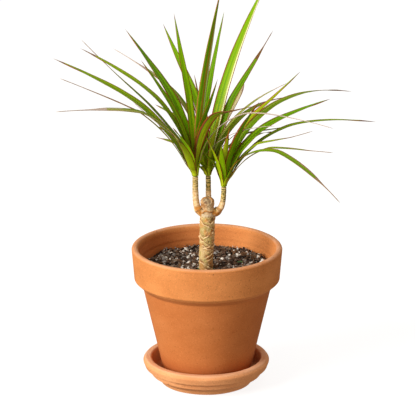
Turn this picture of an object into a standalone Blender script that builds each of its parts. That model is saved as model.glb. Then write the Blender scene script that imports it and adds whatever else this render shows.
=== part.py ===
"""A Madagascar dragon tree in a clay pot on its saucer, in metres, standing on the XY plane."""

import math

import bmesh
import bpy
from mathutils import Vector
from mathutils.geometry import interpolate_bezier

# Shared sizes
GAP = 0.0003
ROUND_SIDES = 48
ARC_STEP = math.radians(24)
WELD = 1e-6

# Saucer: radius, height and rounding of each corner of its outside, from the foot up to the rim. It sits a
# little to the left of the pot
SAUCER_SHIFT = -0.0008
SAUCER_FLOOR = 0.011
SAUCER_HEIGHT = 0.026
SAUCER_OUTSIDE = (
    (0.0458, 0.0, 0.0008),
    (0.0480, 0.0040, 0.0012),
    (0.0512, 0.0062, 0.0008),
    (0.0558, 0.0090, 0.0014),
    (0.0570, 0.0132, 0.0008),
    (0.0618, 0.0158, 0.0016),
    (0.0642, 0.0224, 0.0026),
    (0.0614, SAUCER_HEIGHT, 0.0020),
)
SAUCER_INSIDE = (
    (0.0556, SAUCER_HEIGHT, 0.0022),
    (0.0505, SAUCER_FLOOR, 0.0040),
)

# Pot
POT_FOOT_RADIUS = 0.0440
POT_FOOT_ROUNDING = 0.0045
POT_BOTTOM = SAUCER_FLOOR + GAP
POT_FLOOR = 0.0190
POT_FLOOR_RADIUS = 0.0384
BAND_BOTTOM_RADIUS = 0.0734
BAND_BOTTOM = 0.1094
UNDER_BAND_RADIUS = 0.0648
UNDER_BAND = 0.1012
RIM_RADIUS = 0.0762
RIM_INNER_RADIUS = 0.0698
RIM_TOP = 0.1425
LIP_ROUNDING = 0.0030

# Soil
SOIL_TOP = 0.1203
SOIL_RINGS = (0.016, 0.030, 0.042, 0.054)
SOIL_ROUGHNESS = 0.0009
SOIL_RISE = 0.0018
SOIL_CORNER = 0.0060

# Cane: sideways place, height and radius of each ring, from its flat foot to its rounded cut top
CANE_DEPTH = -0.0060
CANE_SIDES = 24
CANE = (
    (-0.0012, SOIL_TOP + GAP, 0.0068),
    (-0.0010, 0.1300, 0.0070),
    (-0.0003, 0.1450, 0.0073),
    (0.0001, 0.1630, 0.0075),
    (0.0004, 0.1745, 0.0075),
    (0.0005, 0.1785, 0.0073),
    (0.0005, 0.1820, 0.0068),
    (0.0004, 0.1855, 0.0064),
    (0.0004, 0.1880, 0.0066),
    (0.0004, 0.1912, 0.0070),
    (0.0004, 0.1938, 0.0064),
    (0.0005, 0.1957, 0.0046),
    (0.0006, 0.1966, 0.0022),
)

# Stems: start inside the cane, two handles that steer the bend, and the tip, then the radius at the joint
# and at the tip, and the level axis that the bend turns about
STEM_SIDES = 16
STEM_RINGS = 14
STEM_FLARE = 3
STEMS = {
    "left": {
        "path": (
            (0.0000, -0.0060, 0.1800),
            (-0.0108, -0.0060, 0.1795),
            (-0.0119, -0.0052, 0.1860),
            (-0.0116, -0.0045, 0.2172),
        ),
        "radii": (0.0062, 0.0030),
        "axis": (0, 1, 0),
    },
    "centre": {
        "path": (
            (0.0010, -0.0030, 0.1795),
            (0.0014, 0.0052, 0.1800),
            (0.0017, 0.0046, 0.1900),
            (0.0012, 0.0045, 0.2150),
        ),
        "radii": (0.0036, 0.0027),
        "axis": (1, 0, 0),
    },
    "right": {
        "path": (
            (0.0010, -0.0060, 0.1805),
            (0.0150, -0.0060, 0.1790),
            (0.0166, -0.0050, 0.1880),
            (0.0168, -0.0040, 0.2060),
        ),
        "radii": (0.0060, 0.0027),
        "axis": (0, 1, 0),
    },
}

# Leaves of each tuft, whorl by whorl from the outside in. Each row holds the compass turn (0 is right and
# 90 is back), the rise at the foot and at the tip, all in degrees, then length, width, roll, and how far
# the outer half sags before the tip turns up again
LEAF_STEPS = 10
LEAF_BEND = 1.6
LEAF_THICKNESS = 0.0125
LEAF_FOLD = 0.30
LEAF_WIDENS = 0.45
ROLL_SETTLES = 0.40
WHORLS = (
    {"name": "outer", "radius": 0.0041, "rise": -0.0010, "apart": 32, "width": 0.0019, "thickness": 0.0011},
    {"name": "middle", "radius": 0.0024, "rise": GAP, "apart": 45, "width": 0.0015, "thickness": 0.0010},
    {"name": "inner", "radius": 0.0009, "rise": GAP, "apart": 88, "width": 0.0011, "thickness": 0.0008},
)
LEAVES = {
    "left": {
        "outer": (
            (116, 52, -6, 0.094, 0.008, 0, 0),
            (170, 68, 18, 0.190, 0.010, -12, 0.002),
            (188, 68, 18, 0.178, 0.006, 0, 0.003),
            (210, 77, -4, 0.200, 0.007, -18, 0.004),
            (252, 64, 34, 0.078, 0.008, 0, 0),
            (332, 85, -18, 0.197, 0.005, 0, 0.005),
        ),
        "middle": (
            (11, 85, 78, 0.172, 0.008, 35, 0.001),
            (139, 82, 36, 0.169, 0.010, -12, 0.003),
            (160, 81, 18, 0.182, 0.009, 0, 0.002),
            (230, 84, 44, 0.070, 0.008, 0, 0.001),
            (300, 88, 9, 0.165, 0.009, -20, 0.005),
        ),
        "inner": (
            (118, 83, 67, 0.165, 0.008, 0, 0.005),
            (166, 83, 51, 0.132, 0.008, -15, 0.001),
            (303, 87, 57, 0.121, 0.007, 0, 0.005),
            (322, 88, 76, 0.201, 0.009, -25, 0.001),
        ),
    },
    "centre": {
        "outer": (
            (19, 72, -8, 0.118, 0.005, 0, 0.005),
            (42, 80, -8, 0.140, 0.008, 0, 0),
            (60, 74, 29, 0.108, 0.008, 0, 0.001),
            (95, 74, 7, 0.128, 0.008, 0, 0.001),
            (119, 65, -8, 0.127, 0.008, 0, 0.002),
            (154, 53, 34, 0.188, 0.006, 8, 0.003),
            (170, 84, 4, 0.070, 0.006, -15, 0.001),
            (235, 79, 48, 0.018, 0.004, 0, 0),
        ),
        "middle": (
            (14, 86, 21, 0.129, 0.006, 5, 0),
            (40, 80, 42, 0.163, 0.008, 15, 0.004),
            (118, 82, 33, 0.171, 0.009, 0, 0.005),
            (138, 83, 8, 0.182, 0.008, 10, 0.003),
        ),
        "inner": (
            (56, 79, 44, 0.213, 0.011, 10, 0),
            (146, 88, 76, 0.105, 0.007, 0, 0),
            (315, 88, 69, 0.075, 0.006, 0, 0.001),
        ),
    },
    "right": {
        "outer": (
            (11, 68, -14, 0.182, 0.008, 0, 0.002),
            (60, 64, -20, 0.120, 0.008, 0, 0.001),
            (100, 63, -15, 0.100, 0.008, 0, 0.001),
            (215, 88, 62, 0.062, 0.007, 0, 0.001),
            (172, 88, 48, 0.056, 0.008, 0, 0.005),
            (326, 75, -48, 0.173, 0.009, 8, 0.005),
            (337, 70, -10, 0.138, 0.006, 4, 0.004),
            (351, 80, 4, 0.117, 0.006, 10, 0.005),
        ),
        "middle": (
            (5, 78, 12, 0.147, 0.010, 22, 0.002),
            (36, 80, -18, 0.203, 0.009, 5, 0.001),
            (328, 86, 54, 0.105, 0.009, -10, 0),
            (262, 86, 64, 0.052, 0.008, 0, 0.001),
        ),
        "inner": (
            (14, 87, 32, 0.146, 0.008, 15, 0.005),
            (288, 88, 66, 0.071, 0.007, 0, 0.001),
        ),
    },
}


def clear_scene():
    for found in list(bpy.data.objects):
        bpy.data.objects.remove(found, do_unlink=True)


def material(name, colour, roughness):
    """One plain surface, named for what it is made of."""
    made = bpy.data.materials.new(name)
    made.use_nodes = True
    shader = made.node_tree.nodes["Principled BSDF"]
    shader.inputs["Base Color"].default_value = (*colour, 1)
    shader.inputs["Roughness"].default_value = roughness
    shader.inputs["Metallic"].default_value = 0
    return made


def add_object(name, bm, finish):
    """Turns a bmesh into a named object with its faces pointing out."""
    bmesh.ops.recalc_face_normals(bm, faces=bm.faces)
    mesh = bpy.data.meshes.new(name)
    bm.to_mesh(mesh)
    bm.free()
    mesh.materials.append(finish)
    made = bpy.data.objects.new(name, mesh)
    bpy.context.scene.collection.objects.link(made)
    return made


def shade_round(made, sharp_degrees=40):
    made.data.shade_smooth()
    made.data.set_sharp_from_angle(angle=math.radians(sharp_degrees))


def rounded(corners):
    """A profile's points, with an arc in place of each corner that has a rounding."""
    points = [Vector(corners[0][:2])]
    for before, corner, after in zip(corners, corners[1:], corners[2:]):
        middle = Vector(corner[:2])
        to_last = (Vector(before[:2]) - middle).normalized()
        to_next = (Vector(after[:2]) - middle).normalized()
        half = to_last.angle(to_next) / 2
        away = (to_last + to_next).normalized()
        centre = middle + away * corner[2] / math.sin(half)
        start = middle + to_last * corner[2] / math.tan(half) - centre
        sweep = math.pi - 2 * half
        way = 1 if to_last.x * to_next.y - to_last.y * to_next.x < 0 else -1
        steps = max(1, round(sweep / ARC_STEP))
        for i in range(steps + 1):
            angle = way * sweep * i / steps
            turned = Vector(
                (
                    start.x * math.cos(angle) - start.y * math.sin(angle),
                    start.x * math.sin(angle) + start.y * math.cos(angle),
                )
            )
            points.append(centre + turned)
    points.append(Vector(corners[-1][:2]))
    return points


def turned(points):
    """A bmesh made by spinning a profile of radius and height about the Z axis."""
    bm = bmesh.new()
    verts = [bm.verts.new((p[0], 0, p[1])) for p in points]
    edges = [bm.edges.new(pair) for pair in zip(verts, verts[1:])]
    bmesh.ops.spin(
        bm,
        geom=verts + edges,
        axis=(0, 0, 1),
        cent=(0, 0, 0),
        angle=math.tau,
        steps=ROUND_SIDES,
        use_merge=True,
    )
    bmesh.ops.remove_doubles(bm, verts=bm.verts, dist=WELD)
    return bm


def make_saucer(finish):
    corners = [(0, 0), *SAUCER_OUTSIDE, *SAUCER_INSIDE, (0, SAUCER_FLOOR)]
    bm = turned(rounded(corners))
    bmesh.ops.translate(bm, verts=bm.verts, vec=(SAUCER_SHIFT, 0, 0))
    shade_round(add_object("saucer", bm, finish))


def make_pot(finish):
    corners = [
        (0, POT_BOTTOM),
        (POT_FOOT_RADIUS, POT_BOTTOM, POT_FOOT_ROUNDING),
        (UNDER_BAND_RADIUS, UNDER_BAND, 0.0020),
        (BAND_BOTTOM_RADIUS, BAND_BOTTOM, 0.0012),
        (RIM_RADIUS, RIM_TOP, LIP_ROUNDING),
        (RIM_INNER_RADIUS, RIM_TOP, LIP_ROUNDING),
        (POT_FLOOR_RADIUS, POT_FLOOR, 0.0040),
        (0, POT_FLOOR),
    ]
    shade_round(add_object("pot", turned(rounded(corners)), finish))


def wall_radius(height):
    """Radius of the pot's straight inner wall at a height."""
    share = (height - POT_FLOOR) / (RIM_TOP - POT_FLOOR)
    return POT_FLOOR_RADIUS + (RIM_INNER_RADIUS - POT_FLOOR_RADIUS) * share


def soil_height(x, y):
    """The loose surface: level round the cane, then gently uneven, and a little higher at the wall."""
    away = max(0, math.hypot(x, y) - SOIL_RINGS[0])
    waves = math.sin(140 * x + 1.3) + math.cos(170 * y - 90 * x) + math.sin(230 * y + 60 * x + 0.5)
    uneven = SOIL_ROUGHNESS * waves * min(1, away / SOIL_RINGS[0])
    return SOIL_TOP + uneven + SOIL_RISE * away / (SOIL_RINGS[-1] - SOIL_RINGS[0])


def make_soil(finish):
    """The filling of the pot, clear of its wall and floor all round."""
    bottom = POT_FLOOR + GAP
    corners = [
        (0, bottom),
        (wall_radius(bottom) - GAP, bottom, SOIL_CORNER),
        (wall_radius(SOIL_TOP) - GAP, SOIL_TOP),
    ]
    rings = [Vector((radius, SOIL_TOP)) for radius in reversed(SOIL_RINGS)]
    bm = turned([*rounded(corners), *rings, Vector((0, SOIL_TOP))])
    for vert in bm.verts:
        if vert.co.z < SOIL_TOP - WELD:
            continue
        away = math.hypot(vert.co.x, vert.co.y)
        vert.co.z = soil_height(vert.co.x, vert.co.y)
        if away > SOIL_RINGS[-1] + WELD:
            scale = (wall_radius(vert.co.z) - GAP) / away
            vert.co.x *= scale
            vert.co.y *= scale
    shade_round(add_object("soil", bm, finish))


def tube(rings):
    """A closed bmesh through rings of points, with flat ends."""
    bm = bmesh.new()
    loops = [[bm.verts.new(p) for p in ring] for ring in rings]
    sides = len(loops[0])
    for low, high in zip(loops, loops[1:]):
        for i in range(sides):
            j = (i + 1) % sides
            bm.faces.new((low[i], low[j], high[j], high[i]))
    bm.faces.new(reversed(loops[0]))
    bm.faces.new(loops[-1])
    return bm


def circle(centre, radius, sides, across, along):
    """Points round a centre, in the plane of two unit vectors."""
    angles = [math.tau * i / sides for i in range(sides)]
    return [centre + radius * (across * math.cos(a) + along * math.sin(a)) for a in angles]


def cane_mesh(extra):
    """The cane in level rings, grown by an extra radius all round."""
    x_way = Vector((1, 0, 0))
    y_way = Vector((0, 1, 0))
    rings = [
        circle(Vector((x, CANE_DEPTH, z)), radius + extra, CANE_SIDES, x_way, y_way) for x, z, radius in CANE
    ]
    return tube(rings)


def make_cane(finish):
    shade_round(add_object("trunk", cane_mesh(0), finish))


def make_stem(side, finish, cutter):
    """One thin stem that leaves the cane's shoulder, bends up and ends flat under its leaves."""
    joint_radius, tip_radius = STEMS[side]["radii"]
    path = interpolate_bezier(*[Vector(p) for p in STEMS[side]["path"]], STEM_RINGS)
    rings = []
    for i, point in enumerate(path):
        ahead = Vector((0, 0, 1))
        if i < STEM_RINGS - 1:
            ahead = (path[i + 1] - path[max(i - 1, 0)]).normalized()
        along = ahead.cross(Vector(STEMS[side]["axis"])).normalized()
        across = along.cross(ahead)
        share = i / (STEM_RINGS - 1)
        radius = tip_radius + (joint_radius - tip_radius) * (1 - share) ** STEM_FLARE
        rings.append(circle(point, radius, STEM_SIDES, across, along))
    stem = add_object("stem_" + side, tube(rings), finish)
    cut = stem.modifiers.new("clear_of_cane", "BOOLEAN")
    cut.operation = "DIFFERENCE"
    cut.solver = "EXACT"
    cut.object = cutter
    shade_round(stem)


def smooth(share):
    share = min(1, max(0, share))
    return share * share * (3 - 2 * share)


def spread(turns, apart):
    """Sorted turns, with neighbours pushed apart until they differ by at least the given angle."""
    slots = sorted(turns)
    for _ in range(60):
        for i in range(len(slots)):
            j = (i + 1) % len(slots)
            between = (slots[j] - slots[i]) % 360
            if between < apart:
                push = (apart - between) / 2
                slots[i] -= push
                slots[j] += push
    return slots


def leaf_mesh(foot, whorl, row):
    """A folded blade that leaves its stem steeply, bends over and tapers to a point."""
    turn, foot_rise, tip_rise, length, width, roll, sag = row
    heading = math.radians(turn)
    outward = Vector((math.cos(heading), math.sin(heading), 0))
    sideways = Vector((-math.sin(heading), math.cos(heading), 0))
    point = foot.copy()
    rings = []
    for i in range(LEAF_STEPS):
        share = i / LEAF_STEPS
        rise = math.radians(tip_rise + (foot_rise - tip_rise) * (1 - share) ** LEAF_BEND)
        ahead = outward * math.cos(rise) + Vector((0, 0, math.sin(rise)))
        up = outward * -math.sin(rise) + Vector((0, 0, math.cos(rise)))
        tilt = math.radians(roll) * smooth(share / ROLL_SETTLES)
        edge_way = sideways * math.cos(tilt) + up * math.sin(tilt)
        face_way = up * math.cos(tilt) - sideways * math.sin(tilt)
        grown = smooth(share / LEAF_WIDENS)
        taper = 1 - share**3
        half = (whorl["width"] + (width - whorl["width"]) * grown) * taper / 2
        thick = (whorl["thickness"] + (LEAF_THICKNESS * length - whorl["thickness"]) * grown) * taper
        fold = face_way * half * LEAF_FOLD * grown
        middle = point - Vector((0, 0, sag * math.sin(math.tau * max(0, share - 0.5))))
        rings.append(
            [
                middle + edge_way * half + fold,
                middle + face_way * thick / 2,
                middle - edge_way * half + fold,
                middle - face_way * thick / 2,
            ]
        )
        point = point + ahead * length / LEAF_STEPS
    bm = bmesh.new()
    loops = [[bm.verts.new(p) for p in ring] for ring in rings]
    tip = bm.verts.new(point)
    for low, high in zip(loops, loops[1:]):
        for i in range(4):
            j = (i + 1) % 4
            bm.faces.new((low[i], low[j], high[j], high[i]))
    for i in range(4):
        bm.faces.new((loops[-1][i], loops[-1][(i + 1) % 4], tip))
    bm.faces.new(reversed(loops[0]))
    bmesh.ops.triangulate(bm, faces=bm.faces)
    return bm


def make_leaves(side, finish):
    """The leaves of one stem, each in its own slot round the stem's tip."""
    tip = Vector(STEMS[side]["path"][-1])
    count = 0
    for whorl in WHORLS:
        rows = sorted(LEAVES[side][whorl["name"]])
        slots = spread([row[0] for row in rows], whorl["apart"])
        for slot, row in zip(slots, rows):
            count += 1
            angle = math.radians(slot)
            foot = tip + Vector(
                (whorl["radius"] * math.cos(angle), whorl["radius"] * math.sin(angle), whorl["rise"])
            )
            add_object(f"leaf_{side}_{count:02d}", leaf_mesh(foot, whorl, row), finish)


def build():
    clear_scene()
    clay = material("terracotta", (0.72, 0.26, 0.09), 0.85)
    earth = material("potting_soil", (0.07, 0.045, 0.03), 0.95)
    bark = material("bark", (0.33, 0.25, 0.11), 0.8)
    young_bark = material("stem_bark", (0.52, 0.35, 0.17), 0.7)
    green = material("leaf", (0.10, 0.26, 0.03), 0.4)
    make_saucer(clay)
    make_pot(clay)
    make_soil(earth)
    make_cane(bark)
    cutter = add_object("cane_clearance", cane_mesh(GAP), bark)
    cutter.hide_render = True
    cutter.display_type = "WIRE"
    for side in STEMS:
        make_stem(side, young_bark, cutter)
        make_leaves(side, green)


build()
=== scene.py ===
"""The looks of a young Madagascar dragon tree in a clay pot on its saucer. Lengths are in metres."""

import random
from collections import namedtuple
from math import ceil, cos, exp, hypot, pi, radians, sin, sqrt, tan, tau

import bmesh
import bpy
from mathutils import Matrix, Vector
from mathutils.geometry import interpolate_bezier
from mathutils.noise import fractal, noise


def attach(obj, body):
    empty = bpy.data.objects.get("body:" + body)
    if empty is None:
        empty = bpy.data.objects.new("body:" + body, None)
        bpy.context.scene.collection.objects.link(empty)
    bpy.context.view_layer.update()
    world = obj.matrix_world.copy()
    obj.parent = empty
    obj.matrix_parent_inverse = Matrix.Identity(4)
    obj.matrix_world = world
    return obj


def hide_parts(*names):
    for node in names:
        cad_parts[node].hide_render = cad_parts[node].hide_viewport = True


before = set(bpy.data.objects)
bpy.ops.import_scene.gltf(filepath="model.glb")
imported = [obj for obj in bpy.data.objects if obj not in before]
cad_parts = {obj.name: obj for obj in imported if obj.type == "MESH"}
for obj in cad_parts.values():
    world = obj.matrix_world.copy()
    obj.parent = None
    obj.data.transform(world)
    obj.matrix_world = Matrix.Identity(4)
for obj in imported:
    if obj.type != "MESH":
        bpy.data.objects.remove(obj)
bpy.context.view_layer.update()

# Camera, which looks at the middle of the plant from above its pot's rim
IMAGE_SIDE = 416
CAMERA_TARGET = Vector((0.001, 0, 0.183))
CAMERA_DISTANCE = 4.0
CAMERA_RISE = radians(18.25)
CAMERA_FOCAL_PIXELS = 3992
SENSOR_WIDTH = 36

# Lights: place, width, watts and colour
LIGHTS = {
    "key": ((-2.2, -1.6, 1.35), 1.7, 112, (1.0, 0.985, 0.96)),
    "fill": ((1.6, 1.8, 2.4), 1.6, 10, (1.0, 0.95, 0.9)),
    "bounce": ((-0.2, -2.4, 0.12), 1.2, 12, (1.0, 0.92, 0.82)),
    "overhead": ((0.1, -0.1, 3.2), 2.4, 20, (1, 1, 1)),
}
GLOW = (1, 0.84, 0.72, 1)
GLOW_STRENGTH = 0.38

# Clay: profile corners as radius, height and rounding
CLAY_SIDES = 180
CLAY_ARC_STEP = radians(9)
CLAY_STEP = 0.0012
CLAY_WOBBLE = 0.00012
WOBBLE_SCALE = 1.7
WOBBLE_RISE = 12
SAUCER_SHIFT = -0.0008
SAUCER_FLOOR = 0.011
SAUCER_HEIGHT = 0.026
SAUCER_OUTSIDE = (
    (0.0458, 0, 0.0008), (0.048, 0.004, 0.0012), (0.0512, 0.0062, 0.0008), (0.0558, 0.009, 0.0014),
    (0.057, 0.0132, 0.0008), (0.0618, 0.0158, 0.0016), (0.0642, 0.0224, 0.0026),
    (0.0614, SAUCER_HEIGHT, 0.002),
)
SAUCER_INSIDE = ((0.0556, SAUCER_HEIGHT, 0.0022), (0.0505, SAUCER_FLOOR, 0.004))
POT_BOTTOM = 0.0113
POT_FLOOR = 0.019
POT_FLOOR_RADIUS = 0.0384
RIM_TOP = 0.1425
RIM_RADIUS = 0.0762
RIM_INNER_RADIUS = 0.0698
UNDER_BAND = 0.1015
# How much darker the pot is painted: a darker tone under its band, painted shade at its foot, and painted
# shade inside on the left and on the right
BODY_DARKER_TONE = 0.4
FOOT_PAINTED_SHADE = 0.75
INSIDE_PAINTED_SHADE_LEFT = 0.6
INSIDE_PAINTED_SHADE_RIGHT = 0.05
FOOT_SHADE_TOP = 0.04
FOOT_SHADE_FADE = 0.025
SAUCER_PAINTED_SHADE = 0.3
EDGE_FADE = 0.004
RIM_WEAR = 0.5
POT_PROFILE = (
    (0.0, POT_BOTTOM),
    (0.044, POT_BOTTOM, 0.0045),
    (0.0648, 0.1012, 0.002),
    (0.0734, 0.1094, 0.0018),
    (RIM_RADIUS, RIM_TOP, 0.003),
    (RIM_INNER_RADIUS, RIM_TOP, 0.003),
    (POT_FLOOR_RADIUS, POT_FLOOR, 0.004),
    (0.0, POT_FLOOR),
)
# Two near tones of the clay, then a dark tone for painted shade and for the pot's darker body under its band,
# and the worn one
POT_TONES = ((218, 143, 81), (201, 126, 67), (168, 80, 31), (218, 166, 130))
SAUCER_TONES = ((234, 167, 113), (218, 145, 92), (156, 104, 70), (232, 184, 148))
# Rings pressed into the clay: height, width and depth, with a raised ring below nought
OUTSIDE_RINGS = ((0.1388, 0.0005, 0.00042), (0.1128, 0.0008, 0.0001), (0.1212, 0.0016, 0.00006))
INSIDE_RINGS = (
    (0.1278, 0.0006, 0.0005), (0.1292, 0.0006, -0.00036),
    (0.1262, 0.0007, 0.00034), (0.1352, 0.0012, 0.00022),
)
RINGS_START = 0.03
RINGS_END = RIM_TOP - 0.003

# Potting mix
SOIL_TOP = 0.1203
SOIL_ROUGHNESS = 0.0009
SOIL_RISE = 0.0018
SOIL_FLAT_RADIUS = 0.016
SOIL_OUTER_RADIUS = 0.054
SOIL_RINGS = 46
SOIL_SIDES = 150
SOIL_CLEARANCE = 0.0006
BED_FOOT_RADIUS = 0.03
BED_SUNK = 0.0014
BED_LUMPS = 0.0011
CANE_CLEARANCE = 0.0012
CHIPS = 2300
CHIP_LENGTHS = (0.003, 0.0045, 0.006, 0.0076, 0.0092)
GRAINS = 220
GRAIN_SIZES = (0.0022, 0.0028, 0.0034, 0.004, 0.0046)
GRIT = 1100
MOSS_LUMPS = 60
CHIP_OUTLINE = ((-1, 0.45), (-0.55, 0.95), (0.1, 1.0), (0.6, 0.8), (1, 0.35))
CHIP_SECTION = ((1, 0.5), (0.3, 1), (-0.9, 0.6), (-1, -0.6), (0.8, -1))
# Green flecks: place and length
GREEN_FLECKS = ((-0.0255, -0.033, 0.0085), (0.018, -0.042, 0.008), (0.034, 0.012, 0.006))
# Bark and grains: dark and light tone of each kind, and how often each is drawn
BARK_TONES = {
    "bark_dark": ((44, 32, 25), (78, 60, 47)),
    "bark_brown": ((78, 58, 45), (122, 95, 76)),
    "bark_grey": ((104, 88, 74), (146, 127, 108)),
    "bark_red": ((86, 60, 39), (122, 88, 57)),
}
BARK_RED = 3
BARK_DRAWN = (0, 0, 0, 1, 1, 1, 2, BARK_RED)
GRAIN_TONES = {
    "grain_white": ((200, 193, 182), (238, 231, 220)),
    "grain_grey": ((124, 119, 114), (168, 163, 157)),
    "grain_brown": ((98, 86, 77), (140, 126, 114)),
    "grain_dark": ((56, 45, 39), (88, 73, 63)),
}
GRAINS_DRAWN = (0, 0, 1, 1, 2)
GRIT_DRAWN = (0, 1, 1, 2, 3)

# Cane: sideways place, height and radius of each ring, from its foot to its rounded cut top
CANE_DEPTH = -0.006
CANE_SUNK = 0.003
CANE_SIDES = 96
CANE_RINGS = 190
CANE = (
    (-0.0012, SOIL_TOP, 0.0068), (-0.001, 0.13, 0.007), (-0.0003, 0.145, 0.0073), (0.0001, 0.163, 0.0075),
    (0.0004, 0.1745, 0.0075), (0.0005, 0.1785, 0.0073), (0.0005, 0.182, 0.0068), (0.0004, 0.1855, 0.0064),
    (0.0004, 0.188, 0.0066), (0.0004, 0.1912, 0.007), (0.0004, 0.1938, 0.0064), (0.0005, 0.1957, 0.0046),
    (0.0006, 0.1966, 0.0022),
)
SCAR_PITCH = 0.005
SCAR_TURN = radians(137.5)
SCAR_CLIMB = 0.012
SCAR_HEIGHT = 0.0007
SCARS_END = 0.179
BARK_GRAIN = 0.00036
# The ragged collar at the fork: its height behind, how much higher it is in front, and how uneven
COLLAR_HEIGHT = 0.1802
COLLAR_FRONT = 0.0028
COLLAR_UNEVEN = 0.0034
COLLAR_OUT = 0.0013
# Cut face of the old cane, which looks up and forward: middle, way it faces and radius
CUT_MIDDLE = Vector((0.0004, -0.0095, 0.1925))
CUT_WAY = Vector((0, -0.62, 0.78))
CUT_RADIUS = 0.0052
CUT_FROM = 0.188
CUT_DEPTH = 0.0007
RIDGE_OUT = 0.001
# Dark pits: place and radius. The second is a painted shadow: the dark notch where the left stem meets the
# neck
PIT_DEPTH = 0.0009
PITS = (
    ((0.0058, -0.0115, 0.1748), 0.0014), ((-0.005, -0.0096, 0.1842), 0.0014),
    ((0.002, -0.0133, 0.1515), 0.0006), ((-0.004, -0.0122, 0.158), 0.0005),
)

# Lengths along a stem: from the joint, its brown part, swelling and the painted shadow in its crook; from the
# tip, the part that scars crowd on. Then the distances from scar to scar there and below
STEM_SIDES = 40
STEM_RINGS = 110
STEM_FLARE = 3
JOINT_LENGTH = 0.0155
SWELLING_AT = 0.0105
CROOK_SHADOW_AT = 0.0085
CROWDED_LENGTH = 0.0165
CROWDED_PITCH = 0.0026
WIDE_PITCH = 0.0041
# Each stem: start inside the cane, two handles that steer the bend, and the tip, then the radius at the joint
# and at the tip, the level axis that the bend turns about, how dark its scars are, and a seed
Stem = namedtuple("Stem", "path joint_radius radius axis scars seed")
STEMS = {
    "left": Stem(
        ((0, -0.006, 0.18), (-0.0108, -0.006, 0.1795), (-0.0119, -0.0052, 0.186), (-0.0116, -0.0045, 0.2172)),
        0.0062, 0.003, (0, 1, 0), 0.75, 3,
    ),
    "centre": Stem(
        ((0.001, -0.003, 0.1795), (0.0014, 0.0052, 0.18), (0.0017, 0.0046, 0.19), (0.0012, 0.0045, 0.215)),
        0.0036, 0.0027, (1, 0, 0), 1, 17,
    ),
    "right": Stem(
        ((0.001, -0.006, 0.1805), (0.015, -0.006, 0.179), (0.0166, -0.005, 0.188), (0.0168, -0.004, 0.206)),
        0.006, 0.0027, (0, 1, 0), 1, 31,
    ),
}

# Leaves of each tuft, whorl by whorl from the outside in, then dry strands too thin for a solid. A row has
# the compass turn (0 is right, 90 is back) and the rise at the foot and at the tip, in degrees, then length,
# width, roll, tint, how far the outer half sags, and the share of the length where the leaf starts to dry
LEAF_STEPS = 10
LEAF_BEND = 1.6
LEAF_FOLD = radians(27)
LEAF_WIDENS = 0.3
FOOT_WIDENS = 1.5
ROLL_SETTLES = 0.4
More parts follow.
